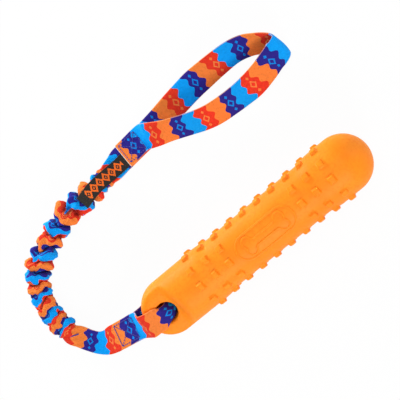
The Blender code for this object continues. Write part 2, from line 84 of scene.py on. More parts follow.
WEB_WIDTH = 25 * MM
WEB_THICKNESS = 2 * MM
GAP = 0.3 * MM
LAYER_PITCH = WEB_THICKNESS + GAP
BIGHT_WIDTH = 15.5 * MM
BIGHT_DEPTH = 10 * MM
BIGHT_INSET = 2 * MM
BIGHT_BOW = 3.8 * MM
LOWER_BOX_NEAR = Vector((-137, 4.1, 26.5)) * MM
LOWER_BOX_FAR = Vector((-163.5, 9.4, 17.5)) * MM
LOWER_BOX_ACROSS = 79
UPPER_BOX_CUT = Vector((-62.2, 137.3, 1.0)) * MM
UPPER_BOX_FAR = Vector((-37.2, 138.7, 1.0)) * MM
UPPER_BOX_RISE = 3.2 * MM
UPPER_BOX_ACROSS = 93
SLEEVE_ROUTE = [
    Vector(point) * MM
    for point in (
        (-202.9, 42.2, 11.6), (-206.5, 56, 11.6), (-207.9, 70, 11.6),
        (-206.2, 84.5, 11.6), (-200.4, 98, 11.6), (-190.5, 108.5, 11.6),
        (-177, 116.5, 11.6), (-162, 122, 11.6), (-146, 126.4, 11.6),
        (-129, 128.9, 11.6), (-112, 129.9, 11.6), (-95.5, 130.4, 11.2),
    )
]
PUFFS = 14
PUFF_CROWD = 0.07
BORE_RADIUS = 4.7 * MM
CORE_RADIUS = 4 * MM
LABEL_WIDTH = 14.5 * MM

# Print, in mm of webbing. A puff takes up half a period, and the neck's two small puffs do too.
BAND_PERIOD = 52.0
HALF_PRINT = 12.5
PUFF_TAKES = BAND_PERIOD / 2
NECK_PRINT = (0, 13, 26, 39, 51.3, 57.2, 64.5, 71.8, 76.6)
LABEL_REPEAT = 7.5

# The photograph's view: its size in pixels, and the scale at the camera's target.
PHOTO_SIZE = 400
PIXELS_PER_MM = 1.12
CAMERA_AWAY = 971.85
CAMERA_TARGET = Vector((-29.83, 60.76, 0)) * MM
FLOOR_GLOW = 0.96
SKY_LIGHT = 0.5


# Camera

def camera():
    distance = CAMERA_AWAY * MM
    turn = math.radians(38.626)
    swing = math.radians(2.25)
    tilt = math.radians(20.12)
    picture_right = Vector((math.cos(turn), -math.sin(turn), 0))
    picture_up = Vector((math.sin(turn), math.cos(turn), 0))
    lean = picture_right * math.cos(swing) + picture_up * math.sin(swing)
    back = lean * math.sin(tilt) + Vector((0, 0, math.cos(tilt)))
    up = (picture_up - back * picture_up.dot(back)).normalized()
    right = up.cross(back)
    data = bpy.data.cameras.new("photo_camera")
    data.sensor_width = 36
    data.lens = data.sensor_width * PIXELS_PER_MM * CAMERA_AWAY / PHOTO_SIZE
    data.clip_start = 0.05
    data.clip_end = 20
    made = bpy.data.objects.new("photo_camera", data)
    bpy.context.scene.collection.objects.link(made)
    axes = Matrix((right, up, back)).transposed().to_4x4()
    made.matrix_world = Matrix.Translation(CAMERA_TARGET + SHIFT + back * distance) @ axes
    bpy.context.scene.camera = made


camera()


# Small helpers

def ease(value):
    held = min(max(value, 0.0), 1.0)
    return held * held * (3 - 2 * held)


def between(low, high, share):
    return low + (high - low) * share


def through(values, share):
    """A smooth (Catmull-Rom) value through a list of numbers or vectors, share running from 0 to 1."""
    spans = len(values) - 1
    at = min(max(share, 0.0), 1.0) * spans
    i = min(int(at), spans - 1)
    f = at - i
    p1 = values[i]
    p2 = values[i + 1]
    p0 = values[i - 1] if i else p1 * 2 - p2
    p3 = values[i + 2] if i + 2 < len(values) else p2 * 2 - p1
    return (p1 * 2 + (p2 - p0) * f + (p0 * 2 - p1 * 5 + p2 * 4 - p3) * f * f
            + (p1 * 3 - p0 - p2 * 3 + p3) * f * f * f) * 0.5


def add_mesh(name, points, faces, finish, web=None, sharp=40):
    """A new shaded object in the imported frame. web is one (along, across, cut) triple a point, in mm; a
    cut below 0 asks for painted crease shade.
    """
    mesh = bpy.data.meshes.new(name)
    mesh.from_pydata([tuple(point + SHIFT) for point in points], [], faces)
    if web:
        attribute = mesh.attributes.new("web", "FLOAT_VECTOR", "POINT")
        for item, value in zip(attribute.data, web):
            item.vector = value
    bm = bmesh.new()
    bm.from_mesh(mesh)
    bmesh.ops.recalc_face_normals(bm, faces=bm.faces)
    bm.to_mesh(mesh)
    bm.free()
    mesh.materials.append(finish)
    mesh.shade_smooth()
    if sharp:
        mesh.set_sharp_from_angle(angle=math.radians(sharp))
    made = bpy.data.objects.new(name, mesh)
    bpy.context.scene.collection.objects.link(made)
    return made


def ring_faces(rings, sides, closed=False):
    """Faces between rings of points, one ring after the other; closed joins the last ring to the first."""
    faces = []
    for i in range(rings if closed else rings - 1):
        here = i * sides
        there = (i + 1) % rings * sides
        for k in range(sides):
            after = (k + 1) % sides
            faces.append((here + k, here + after, there + after, there + k))
    return faces


def end_caps(rings, sides):
    return [tuple(range(sides)), tuple(range((rings - 1) * sides, rings * sides))]


def join(points, faces, part):
    """Adds a part's points and faces to the lists of a larger mesh."""
    first = len(points)
    points.extend(part[0])
    faces.extend(tuple(index + first for index in face) for face in part[1])


class Nodes:
    """A material's nodes, with short calls for the ones used here."""

    def __init__(self, name):
        self.material = bpy.data.materials.new(name)
        self.material.use_nodes = True
        self.tree = self.material.node_tree
        self.shader = self.tree.nodes["Principled BSDF"]

    def node(self, kind, settings=(), **inputs):
        made = self.tree.nodes.new(kind)
        for key, value in dict(settings).items():
            setattr(made, key, value)
        for key, value in inputs.items():
            self.put(made.inputs[int(key[1:])], value)
        return made

    def put(self, socket, value):
        if isinstance(value, bpy.types.NodeSocket):
            self.tree.links.new(value, socket)
        else:
            socket.default_value = value

    def math(self, operation, a, b=0.0, c=0.0):
        return self.node("ShaderNodeMath", {"operation": operation}, i0=a, i1=b, i2=c).outputs[0]

    def mix(self, share, a, b, kind="MIX"):
        made = self.node("ShaderNodeMix", {"data_type": "RGBA", "blend_type": kind})
        self.put(made.inputs[0], share)
        self.put(made.inputs[6], a)
        self.put(made.inputs[7], b)
        return made.outputs[2]

    def steps(self, value, low, high):
        smooth = {"interpolation_type": "SMOOTHSTEP"}
        return self.node("ShaderNodeMapRange", smooth, i0=value, i1=low, i2=high).outputs[0]

    def noise(self, scale, detail=2.0, rough=0.5, vector=None):
        made = self.node("ShaderNodeTexNoise")
        made.inputs["Scale"].default_value = scale
        made.inputs["Detail"].default_value = detail
        made.inputs["Roughness"].default_value = rough
        if vector is not None:
            self.put(made.inputs["Vector"], vector)
        return made.outputs[0]

    def object_place(self):
        return self.node("ShaderNodeTexCoord").outputs["Object"]

    def web(self):
        """Along, across and cut-end values that the webbing meshes carry; cut-end values below 0 ask for
        painted crease shade.
        """
        place = self.node("ShaderNodeAttribute", {"attribute_name": "web"}).outputs["Vector"]
        parts = self.node("ShaderNodeSeparateXYZ", (), i0=place)
        return parts.outputs[0], parts.outputs[1], parts.outputs[2]

    def bump(self, height, strength, distance):
        made = self.node("ShaderNodeBump")
        made.inputs["Strength"].default_value = strength
        made.inputs["Distance"].default_value = distance
        self.put(made.inputs["Height"], height)
        self.put(self.shader.inputs["Normal"], made.outputs[0])

    def surface(self, colour=None, roughness=None, **uniform):
        if colour is not None:
            self.put(self.shader.inputs["Base Color"], colour)
        if roughness is not None:
            self.put(self.shader.inputs["Roughness"], roughness)
        for key, value in uniform.items():
            self.shader.inputs[key.replace("_", " ")].default_value = value
        return self.material


def rgb(red, green, blue):
    """A screen colour from 0 to 255 as the linear value that shows it."""
    linear = []
    for part in (red, green, blue):
        share = part / 255
        linear.append(share / 12.92 if share <= 0.04045 else ((share + 0.055) / 1.055) ** 2.4)
    return (*linear, 1.0)


# Materials

PRINT_RED = rgb(240, 58, 34)
PRINT_CYAN = rgb(0, 166, 255)
PRINT_NAVY = rgb(44, 36, 140)
PRINT_ORANGE = rgb(255, 136, 58)
MOTIF_ORANGE = rgb(250, 132, 64)
MOTIF_CYAN = rgb(0, 140, 235)
CUT_WHITE = rgb(240, 232, 218)
EDGE_TAN = rgb(240, 170, 110)
# Painted shade: the colour that darkens the print deep in the gathers' creases.
CREASE_SHADE = (0.34, 0.28, 0.4, 1.0)


def rubber_finish():
    made = Nodes("foam_rubber_finish")
    place = made.object_place()
    cloud = made.noise(28.0, 3.0, 0.5, place)
    fine = made.noise(1500.0, 2.0, 0.6, place)
    pits = made.noise(420.0, 3.0, 0.6, place)
    base = made.mix(made.steps(cloud, 0.35, 0.65), rgb(255, 137, 16), rgb(255, 144, 22))
    speckle = made.mix(made.steps(pits, 0.42, 0.7), base, rgb(252, 133, 16))
    height = made.math("ADD", made.math("MULTIPLY", pits, 0.6), made.math("MULTIPLY", fine, 0.4))
    made.bump(height, 0.16, 0.00025)
    rough = made.math("MULTIPLY_ADD", pits, 0.16, 0.44)
    return made.surface(speckle, rough, Sheen_Weight=0.35, Sheen_Roughness=0.15,
                        Sheen_Tint=rgb(255, 240, 160), Specular_IOR_Level=0.2)


def printed_webbing():
    """Four cross bands with a regular wave, and plain lozenges and dots on the red and the navy ones."""
    made = Nodes("printed_webbing_finish")
    along, across, cut = made.web()
    swell = made.math("SINE", made.math("MULTIPLY_ADD", across, 0.62, 0.5))
    slant = made.math("MULTIPLY", along, 0.09)
    drift = made.math("SINE", made.math("MULTIPLY_ADD", across, 0.21, slant))
    wave = made.math("ADD", made.math("MULTIPLY", swell, 1.5), made.math("MULTIPLY", drift, 1.7))
    turn = made.math("FRACT", made.math("DIVIDE", made.math("ADD", along, wave), BAND_PERIOD))
    ramp = made.node("ShaderNodeValToRGB", (), i0=turn)
    ramp.color_ramp.interpolation = "CONSTANT"
    stops = ((0.0, PRINT_RED), (0.25, PRINT_CYAN), (0.5, PRINT_NAVY), (0.75, PRINT_ORANGE))
    while len(ramp.color_ramp.elements) < len(stops):
        ramp.color_ramp.elements.new(0.5)
    for element, (at, colour) in zip(ramp.color_ramp.elements, stops):
        element.position = at
        element.color = colour
    # Half length and half width of the lozenge and of the dots, and how far aside the dots are, in mm
    lozenge = (3.4, 4.6)
    dot = (1.5, 1.9)
    dots_aside = 7.6
    motif_pitch = BAND_PERIOD / 2
    pair = made.math("FRACT", made.math("DIVIDE", along, motif_pitch))
    offset = made.math("MULTIPLY", made.math("SUBTRACT", pair, 0.25), motif_pitch)
    ahead = made.math("ABSOLUTE", offset)
    aside = made.math("ABSOLUTE", across)
    big = made.math("ADD", made.math("DIVIDE", ahead, lozenge[0]), made.math("DIVIDE", aside, lozenge[1]))
    apart = made.math("ABSOLUTE", made.math("SUBTRACT", aside, dots_aside))
    small = made.math("ADD", made.math("DIVIDE", ahead, dot[0]), made.math("DIVIDE", apart, dot[1]))
    outer = made.math("LESS_THAN", big, 1.0)
    hollow = made.math("MULTIPLY", made.math("GREATER_THAN", big, 0.55), outer)
    dots = made.math("LESS_THAN", small, 1.0)
    motif = made.math("MAXIMUM", hollow, dots)
    motif_colour = made.mix(made.math("GREATER_THAN", turn, 0.4), MOTIF_ORANGE, MOTIF_CYAN)
    printed = made.mix(motif, ramp.outputs[0], motif_colour)
    warp = made.math("SINE", made.math("MULTIPLY", across, 9.4))
    weft = made.math("SINE", made.math("MULTIPLY", along, 8.1))
    weave = made.math("MULTIPLY", warp, weft)
    dark = made.mix(1.0, printed, (0.74, 0.76, 0.82, 1.0), "MULTIPLY")
    woven = made.mix(made.steps(weave, 1.0, -1.0), printed, dark)
    selvage = made.math("MULTIPLY", made.steps(aside, 12.05, 12.35), 0.45)
    edged = made.mix(selvage, woven, EDGE_TAN)
    # Painted shade: where the cut value is below 0, in the gathers' creases, the print is multiplied by
    # CREASE_SHADE.
    deep = made.mix(1.0, edged, CREASE_SHADE, "MULTIPLY")
    crease_shaded = made.mix(made.steps(cut, 0.0, -0.8), edged, deep)
    finished = made.mix(made.steps(cut, 0.3, 0.7), crease_shaded, CUT_WHITE)
    mottle = made.noise(420.0, 3.0, 0.6, made.object_place())
    worn = made.mix(1.0, finished, (0.86, 0.86, 0.9, 1.0), "MULTIPLY")
    cloudy = made.mix(made.steps(mottle, 0.45, 0.75), finished, worn)
    height = made.math("ADD", made.math("MULTIPLY", weave, 0.6), made.math("MULTIPLY", mottle, 0.4))
    made.bump(height, 0.35, 0.0002)
    rough = made.math("MULTIPLY_ADD", mottle, 0.2, 0.6)
    return made.surface(cloudy, rough, Sheen_Weight=0.02, Sheen_Roughness=0.5, Specular_IOR_Level=0.1)


def label_finish():
    """Black ribbed tape with a woven orange chain of lozenges."""
    made = Nodes("woven_label_finish")
    along, across, _ = made.web()
    ribs = made.math("SINE", made.math("MULTIPLY", across, 7.0))
    picks = made.math("SINE", made.math("MULTIPLY", along, 12.0))
    speck = made.noise(900.0, 2.0, 0.6, made.object_place())
    ground = made.mix(made.steps(ribs, -0.8, 1.0), rgb(12, 9, 7), rgb(34, 27, 21))
    ground = made.mix(made.math("MULTIPLY", made.steps(speck, 0.5, 0.75), 0.4), ground, rgb(84, 68, 54))
    # Half length and half width of a lozenge, and the middle and half length of their chain, in mm
    half = (4.1, 9.6)
    chain_middle = 27.0
    chain_half = 22.5
    aside = made.math("ABSOLUTE", across)
    cell = made.math("FRACT", made.math("DIVIDE", made.math("ADD", along, 1.2), LABEL_REPEAT))
    offset = made.math("MULTIPLY", made.math("SUBTRACT", cell, 0.5), LABEL_REPEAT)
    ahead = made.math("ABSOLUTE", offset)
    lozenge = made.math("ADD", made.math("DIVIDE", ahead, half[0]), made.math("DIVIDE", aside, half[1]))
    within = made.math("LESS_THAN", lozenge, 1.0)
    ring = made.math("MULTIPLY", within, made.math("GREATER_THAN", lozenge, 0.5))
    heart = made.math("LESS_THAN", lozenge, 0.2)
    away = made.math("ABSOLUTE", made.math("SUBTRACT", along, chain_middle))
    kept = made.math("LESS_THAN", away, chain_half)
    pattern = made.math("MULTIPLY", made.math("MAXIMUM", ring, heart), kept)
    thread = made.mix(made.steps(picks, -1.0, 1.0), rgb(226, 92, 14), rgb(250, 118, 30))
    colour = made.mix(pattern, ground, thread)
    height = made.math("ADD", made.math("MULTIPLY", ribs, 0.3), made.math("MULTIPLY", pattern, 0.7))
    made.bump(height, 0.4, 0.00015)
    rough = made.math("MULTIPLY_ADD", speck, 0.15, 0.62)
    return made.surface(colour, rough, Sheen_Weight=0.1, Specular_IOR_Level=0.25)


def thread_finish():
    made = Nodes("navy_thread_finish")
    place = made.object_place()
    twist = made.node("ShaderNodeTexWave", {"bands_direction": "DIAGONAL"})
    twist.inputs["Scale"].default_value = 900.0
    made.put(twist.inputs["Vector"], place)
    colour = made.mix(twist.outputs["Fac"], rgb(34, 28, 110), rgb(62, 54, 160))
    made.bump(twist.outputs["Fac"], 0.3, 0.0001)
    rough = made.math("MULTIPLY_ADD", made.noise(700.0, 2.0, 0.5, place), 0.2, 0.4)
    return made.surface(colour, rough, Sheen_Weight=0.1)


def elastic_finish():
    made = Nodes("elastic_cord_finish")
    along, across, _ = made.web()
    one_way = made.math("SINE", made.math("MULTIPLY_ADD", along, 3.2, across))
    other_way = made.math("SINE", made.math("SUBTRACT", made.math("MULTIPLY", along, 3.2), across))
    braid = made.math("MULTIPLY", one_way, other_way)
    colour = made.mix(made.steps(braid, -1.0, 1.0), rgb(212, 210, 204), rgb(244, 243, 238))
    made.bump(braid, 0.5, 0.0003)
    rough = made.math("MULTIPLY_ADD", made.noise(500.0, 2.0, 0.5, made.object_place()), 0.2, 0.55)
    return made.surface(colour, rough)


RUBBER = rubber_finish()
PRINTED = printed_webbing()
LABEL = label_finish()
THREAD = thread_finish()
ELASTIC = elastic_finish()


# Rubber bar

def bar_radius(x):
    into = ease((x - (WAIST_FROM_X - WAIST_BLEND)) / WAIST_BLEND)
    out = ease((x - WAIST_TO_X) / WAIST_BLEND)
    return END_RADIUS - (END_RADIUS - WAIST_RADIUS) * (into - out)


def bar_stations():
    """Places along the bar from the tab's tip to the dome's tip, as (x, radius)."""
    quarter = 26
    steps = 150
    angles = [math.pi / 2 * (i + 0.35) / quarter for i in range(quarter)]
    ends = [(END_RADIUS * math.cos(angle), END_RADIUS * math.sin(angle)) for angle in angles]
    middle = [between(TAB_ROUND_CENTRE_X, DOME_CENTRE_X, i / steps) for i in range(steps + 1)]
    rows = [(TAB_ROUND_CENTRE_X - reach, radius) for reach, radius in ends]
    rows += [(x, bar_radius(x)) for x in middle]
    return rows + [(DOME_CENTRE_X + reach, radius) for reach, radius in reversed(ends)]


def soft_min(a, b, width):
    share = min(max(0.5 + 0.5 * (b - a) / width, 0.0), 1.0)
    return b * (1 - share) + a * share - width * share * (1 - share)


def bar_surface():
    """The bar with the tab's two flats eased into it, as a closed grid round its axis."""
    sides = 150
    flats_end_at = END_RADIUS + 3 * MM
    points = []
    rows = bar_stations()
    for x, radius in rows:
        rise = ease((x - SHOULDER_FROM_X) / (SHOULDER_TO_X - SHOULDER_FROM_X))
        flat = between(TAB_HALF_THICKNESS, flats_end_at, rise)
        for k in range(sides):
            angle = 2 * math.pi * k / sides
            slope = max(abs(math.cos(angle)), 0.001)
            reach = soft_min(radius, flat / slope, EDGE_SOFTNESS)
            reach = min(reach, radius)
            turn = angle + TAB_ROLL
            points.append(Vector((x, -reach * math.sin(turn), AXIS_Z + reach * math.cos(turn))))
    faces = ring_faces(len(rows), sides)
    first_tip = TAB_ROUND_CENTRE_X - END_RADIUS
    last_tip = DOME_CENTRE_X + END_RADIUS
    for row, tip_x in ((0, first_tip), (len(rows) - 1, last_tip)):
        tip = len(points)
        points.append(Vector((tip_x, 0, AXIS_Z)))
        for k in range(sides):
            faces.append((row * sides + k, row * sides + (k + 1) % sides, tip))
    return points, faces


def nub(x, turn):
    """One stud, lofted through rounded squares, with a soft foot that runs into the bar."""
    # Height over the bar's skin, half side and corner radius, in mm
    levels = (
        (-1.1, 3.9, 1.4), (-0.2, 3.7, 1.3), (0.1, 3.36, 1.1), (0.4, 3.12, 0.9), (1.0, 2.95, 0.75),
        (1.9, 2.7, 0.65), (2.25, 2.54, 0.6), (2.44, 2.28, 0.6), (2.5, 1.85, 0.55),
    )
    corner_steps = 4
    place = (
        Matrix.Translation((x, 0, AXIS_Z)) @ Matrix.Rotation(turn, 4, "X")
        @ Matrix.Translation((0, 0, bar_radius(x)))
    )
    points = []
    count = 4 * (corner_steps + 1)
    for height, half, corner in levels:
        for quadrant in range(4):
            for step in range(corner_steps + 1):
                angle = math.pi / 2 * (quadrant + step / corner_steps)
                middle = math.pi / 2 * quadrant + math.pi / 4
                inner = (half - corner) * math.sqrt(2)
                u = inner * math.cos(middle) + corner * math.cos(angle)
                v = inner * math.sin(middle) + corner * math.sin(angle)
                points.append(place @ (Vector((u, v, height)) * MM))
    faces = ring_faces(len(levels), count)
    faces.append(tuple(reversed(range(count))))
    crown = len(points)
    points.append(place @ (Vector((0, 0, 2.52)) * MM))
    last = (len(levels) - 1) * count
    for k in range(count):
        faces.append((last + k, last + (k + 1) % count, crown))
    return points, faces


def nubs_and_beads():
    points = []
    faces = []
    for ring in range(NUB_RINGS):
        for row in range(NUB_ROWS):
            if row in PANEL_ROWS and ring in PANEL_RINGS:
                continue
            turn = ROLL + row * 2 * math.pi / NUB_ROWS
            join(points, faces, nub(FIRST_RING_X + ring * RING_PITCH, turn))
    for outline in (pill_outline(), bone_outline()):
        join(points, faces, bead(outline))
    return points, faces


def even_outline(corners, count, rounds):
    """A closed outline in count even steps, its corners rounded off by rounds of averaging."""
    spans = list(zip(corners, corners[1:] + corners[:1]))
    sizes = [math.dist(a, b) for a, b in spans]
    step = sum(sizes) / count
    points = []
    passed = 0.0
    for (a, b), size in zip(spans, sizes):
        while len(points) < count and len(points) * step < passed + size:
            share = (len(points) * step - passed) / size
            points.append((between(a[0], b[0], share), between(a[1], b[1], share)))
        passed += size
    for _ in range(rounds):
        points = [
            tuple((before[axis] + 2 * here[axis] + after[axis]) / 4 for axis in (0, 1))
            for before, here, after in zip(points[-1:] + points, points, points[1:] + points[:1])
        ]
    return points


def arc(centre, radius, first, last, steps=16):
    """Points on a part of a circle, angles in radians."""
    angles = [between(first, last, i / steps) for i in range(steps + 1)]
    return [(centre[0] + radius * math.cos(a), centre[1] + radius * math.sin(a)) for a in angles]


def pill_outline(length=60, width=23):
    """A pill-shaped outline on the panel, in mm along and round the bar."""
    radius = width / 2
    middle = length / 2 - radius
    quarter = math.pi / 2
    right = arc((middle, 0), radius, -quarter, quarter)
    return even_outline(right + [(-x, -y) for x, y in right], 100, 1)


def bone_outline(middle=17.5, aside=4.3, knob=4.7, shaft=3.3):
    """A plain bone's outline on the panel, in mm along and round the bar."""
    meets_shaft = math.pi + math.asin((aside - shaft) / knob)
    meets_twin = -math.asin(aside / knob)
    upper = arc((middle, aside), knob, meets_twin, meets_shaft)
    right = [(x, -y) for x, y in reversed(upper)] + upper
    return even_outline(right + [(-x, -y) for x, y in right], 104, 3)


def bead(outline):
    """A low round bead that follows an outline on the bar's skin."""
    radius = 1.0 * MM
    sunk = 0.2 * MM
    sides = 10
    points = []

    def on_skin(place):
        x = PANEL_X + place[0] * MM
        turn = ROLL + place[1] * MM / bar_radius(x)
        out = Vector((0, -math.sin(turn), math.cos(turn)))
        return Vector((x, 0, AXIS_Z)) + out * (bar_radius(x) - sunk), out

    count = len(outline)
    for i in range(count):
        centre, out = on_skin(outline[i])
        ahead = (on_skin(outline[(i + 1) % count])[0] - on_skin(outline[i - 1])[0]).normalized()
        side = ahead.cross(out).normalized()
        for k in range(sides):
            angle = 2 * math.pi * k / sides
            points.append(centre + side * radius * math.cos(angle) + out * radius * math.sin(angle))
    return points, ring_faces(count, sides, closed=True)


def hole_cutter():
    """The hole through the tab with its rounded mouths."""
    sides = 72
    steps = 10
    past = 8 * MM
    deep = 1.5 * HOLE_FLARE
    outline = [(HOLE_RADIUS + HOLE_FLARE, TAB_HALF_THICKNESS + past)]
    for i in range(steps + 1):
        angle = math.pi / 2 * i / steps
        radius = HOLE_RADIUS + HOLE_FLARE * (1 - math.sin(angle))
        outline.append((radius, TAB_HALF_THICKNESS - 0.1 * MM - deep * (1 - math.cos(angle))))
    outline += [(radius, -height) for radius, height in reversed(outline)]
    turn = Matrix.Translation((HOLE_X, 0, AXIS_Z)) @ Matrix.Rotation(TAB_ROLL, 4, "X")
    points = []
    for radius, height in outline:
        for k in range(sides):
            angle = 2 * math.pi * k / sides
            points.append(turn @ Vector((radius * math.cos(angle), radius * math.sin(angle), height)))
    return points, ring_faces(len(outline), sides) + end_caps(len(outline), sides)


def weld(mesh, distance=0.004 * MM):
    """Clears the slivers that a Boolean leaves."""
    bm = bmesh.new()
    bm.from_mesh(mesh)
    bmesh.ops.remove_doubles(bm, verts=bm.verts, dist=distance)
    bmesh.ops.dissolve_degenerate(bm, edges=bm.edges, dist=distance)
    bmesh.ops.triangulate(bm, faces=bm.faces)
    bmesh.ops.dissolve_degenerate(bm, edges=bm.edges, dist=distance)
    bm.to_mesh(mesh)
    bm.free()


def in_triangles(made):
    """The object with its mesh cut into triangles, which a Boolean joins without stray faces."""
    bm = bmesh.new()
    bm.from_mesh(made.data)
    bmesh.ops.triangulate(bm, faces=bm.faces)
    bm.to_mesh(made.data)
    bm.free()
    return made


def rubber_bar():
    body = in_triangles(add_mesh("rubber_bar", *bar_surface(), RUBBER))
    tools = [
        (in_triangles(add_mesh("hole_tool", *hole_cutter(), RUBBER)), "DIFFERENCE"),
        (in_triangles(add_mesh("nub_tool", *nubs_and_beads(), RUBBER)), "UNION"),
    ]
    for tool, operation in tools:
        step = body.modifiers.new(operation.lower(), "BOOLEAN")
        step.operation = operation
        step.solver = "EXACT"
        step.object = tool
    bpy.context.view_layer.update()
    graph = bpy.context.evaluated_depsgraph_get()
    final = bpy.data.meshes.new_from_object(body.evaluated_get(graph))
    weld(final)
    body.modifiers.clear()
    body.data = final
    for tool, _ in tools:
        bpy.data.objects.remove(tool, do_unlink=True)
    final.shade_smooth()
    final.set_sharp_from_angle(angle=math.radians(42))
    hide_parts("dummy_body")
    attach(body, "dummy")


rubber_bar()


# Webbing

def pointing(across, tilt=0):
    """A direction from its turn on the floor and its rise, in degrees."""
    turn = math.radians(across)
    rise = math.radians(tilt)
    return Vector((math.cos(turn) * math.cos(rise), math.sin(turn) * math.cos(rise), math.sin(rise)))


def station(x, y, z, across, tilt, width=WEB_WIDTH, thickness=WEB_THICKNESS, bow=0.0):
    """One place on a webbing's middle line, in mm and degrees, with its crown in mm."""
    return {"middle": Vector((x, y, z)) * MM, "side": pointing(across, tilt), "width": width,
            "thickness": thickness, "bow": bow * MM}


def webbing_length(stations):
    middles = [one["middle"] for one in stations]
    places = [through(middles, i / 400) for i in range(401)]
    return sum((b - a).length for a, b in zip(places, places[1:])) / MM


def strip(name, stations, rings, start, finish=PRINTED, cuts=(), columns=22, flutes=0.0, stop=None,
          drawn=()):
    """A flattened tube of webbing along its stations. start and stop are the print's places at its ends.

    drawn gives the print's place at each station instead, counted from start, where webbing is drawn up.
    cuts names the ends that show a white cut edge. flutes is the depth of the small folds, in mm, where
    the tube is thick.
    """
    kinds = ("middle", "side", "width", "thickness", "bow")
    track = {kind: [one[kind] for one in stations] for kind in kinds}
    step = 0.001
    total = webbing_length(stations)
    stretch = (stop - start) / total if stop is not None else 1.0
    points = []
    web = []
    count = 2 * columns
    along = start
    before = None
    for i in range(rings + 1):
        share = i / rings
        middle = through(track["middle"], share)
        behind = through(track["middle"], max(share - step, 0))
        ahead = (through(track["middle"], min(share + step, 1)) - behind).normalized()
        side = through(track["side"], share)
        side = (side - ahead * side.dot(ahead)).normalized()
        up = ahead.cross(side)
        half = through(track["width"], share) / 2
        high = through(track["thickness"], share) / 2
        bow = through(track["bow"], share)
        power = 2 * (half / high) ** 0.92
        if before is not None:
            along += (middle - before).length / MM * stretch
        before = middle
        if drawn:
            along = start + through(drawn, share)
        white = 1.0 if ("start" in cuts and i == 0) or ("end" in cuts and i == rings) else 0.0
        for k in range(count):
            angle = math.pi * k / columns
            x = half * math.cos(angle)
            level = max(1 - abs(math.cos(angle)) ** power, 0.0) ** 0.5
            z = high * level * (1 if k <= columns else -1)
            crown = bow * (1 - (x / half) ** 2)
            flute = 0.0
            if flutes:
                strength = ease((high * 2 / MM - 2.2) / 5)
                flute = flutes * strength * math.sin(9 * angle + 0.35 * along)
            points.append(middle + side * x + up * (z + crown + flute * MM * level))
            web.append((along, x / half * HALF_PRINT, white))
    faces = ring_faces(rings + 1, count)
    for row in (0, rings):
        base = row * count
        faces.append((base, base + 1, base + count - 1))
        for k in range(1, columns - 1):
            faces.append((base + k, base + k + 1, base + count - k - 1, base + count - k))
        faces.append((base + columns - 1, base + columns, base + columns + 1))
    made = add_mesh(name, points, faces, finish, web, sharp=55)
    return made, start + total * stretch


def box_layer(start, end, offset, across, width=WEB_WIDTH):
    """Stations along a sewn box from start to end, offset along the box's own upward normal."""
    ahead = (end - start).normalized()
    side = pointing(across)
    side = (side - ahead * side.dot(ahead)).normalized()
    up = ahead.cross(side)
    if up.z < 0:
        up.negate()
    return [
        {"middle": start.lerp(end, share) + up * offset, "side": side, "width": width,
         "thickness": WEB_THICKNESS, "bow": 0.0}
        for share in (0.0, 0.5, 1.0)
    ]


def loop_stations():
    """Webbing from the lower box stitch over the tab, down through its hole, and back beneath."""
    up = Vector((0, -math.sin(TAB_ROLL), math.cos(TAB_ROLL)))
    out = (LOWER_BOX_NEAR - Vector((HOLE_X, 0, LOWER_BOX_NEAR.z))).normalized()
    out = (out - up * out.dot(up)).normalized()
    side = up.cross(out)
    if side.y < 0:
        side.negate()
    rim = Vector((HOLE_X - HOLE_RADIUS + BIGHT_INSET, 0, AXIS_Z))
    clear = TAB_HALF_THICKNESS + 2 * GAP + WEB_THICKNESS / 2

    def at(along, height, width, bow=0.0):
        return {"middle": rim + out * along + up * height, "side": side, "width": width,
                "thickness": WEB_THICKNESS, "bow": bow}

    upper = box_layer(LOWER_BOX_FAR, LOWER_BOX_NEAR, LAYER_PITCH / 2, LOWER_BOX_ACROSS)
    lower = box_layer(LOWER_BOX_NEAR, LOWER_BOX_FAR, -LAYER_PITCH / 2, LOWER_BOX_ACROSS)
    over = [at(18.5 * MM, clear * 0.62, 24.5 * MM), at(13.5 * MM, clear * 0.98, 24 * MM),
            at(7 * MM, clear + 0.2 * MM, 23 * MM)]
    bight = []
    turns = 8
    for i in range(turns + 1):
        angle = math.pi * i / turns
        bight.append(at(-BIGHT_DEPTH * math.sin(angle), clear * math.cos(angle),
                        between(22 * MM, BIGHT_WIDTH, ease(1.6 * math.sin(angle))),
                        -BIGHT_BOW * ease(1.2 * math.sin(angle))))
    under = [at(7 * MM, -clear - 0.2 * MM, 23 * MM), at(13.5 * MM, -clear * 0.98, 24 * MM),
             at(18.5 * MM, -clear * 0.62, 24.5 * MM)]
    return (upper + over + bight + under + lower)[::-1]


def mouth(share, away, across, width, thickness):
    """A webbing station square to the gathered tube's end at share, that far outside the tube."""
    end = SLEEVE_ROUTE[0] if share < 0.5 else SLEEVE_ROUTE[-1]
    inner = SLEEVE_ROUTE[1] if share < 0.5 else SLEEVE_ROUTE[-2]
    middle = end + (end - inner).normalized() * away
    return station(middle.x / MM, middle.y / MM, middle.z / MM, across, 0, width, thickness)


def run_stations():
    """Webbing between the lower box stitch and the gathers, with its sideways bend."""
    ahead = (LOWER_BOX_FAR - LOWER_BOX_NEAR).normalized()
    first = dict(box_layer(LOWER_BOX_NEAR, LOWER_BOX_FAR, LAYER_PITCH / 2, LOWER_BOX_ACROSS)[-1])
    second = dict(first)
    second["middle"] = first["middle"] + ahead * 5 * MM
    return [
        first, second,
        station(-176.5, 12.2, 13.6, 70, 0, 23 * MM, 2.2 * MM),
        station(-184.5, 17.0, 12.0, 55, 2, 21 * MM, 2.8 * MM),
        station(-191.2, 24.4, 11.3, 40, 3, 20.5 * MM, 3.8 * MM),
        station(-196.8, 32.4, 11.3, 25, 2, 20.5 * MM, 6.5 * MM),
        mouth(0, 4 * MM, 15, 19.0 * MM, 10.5 * MM),
        mouth(0, -1.5 * MM, 15, 17.5 * MM, 12 * MM),
    ]


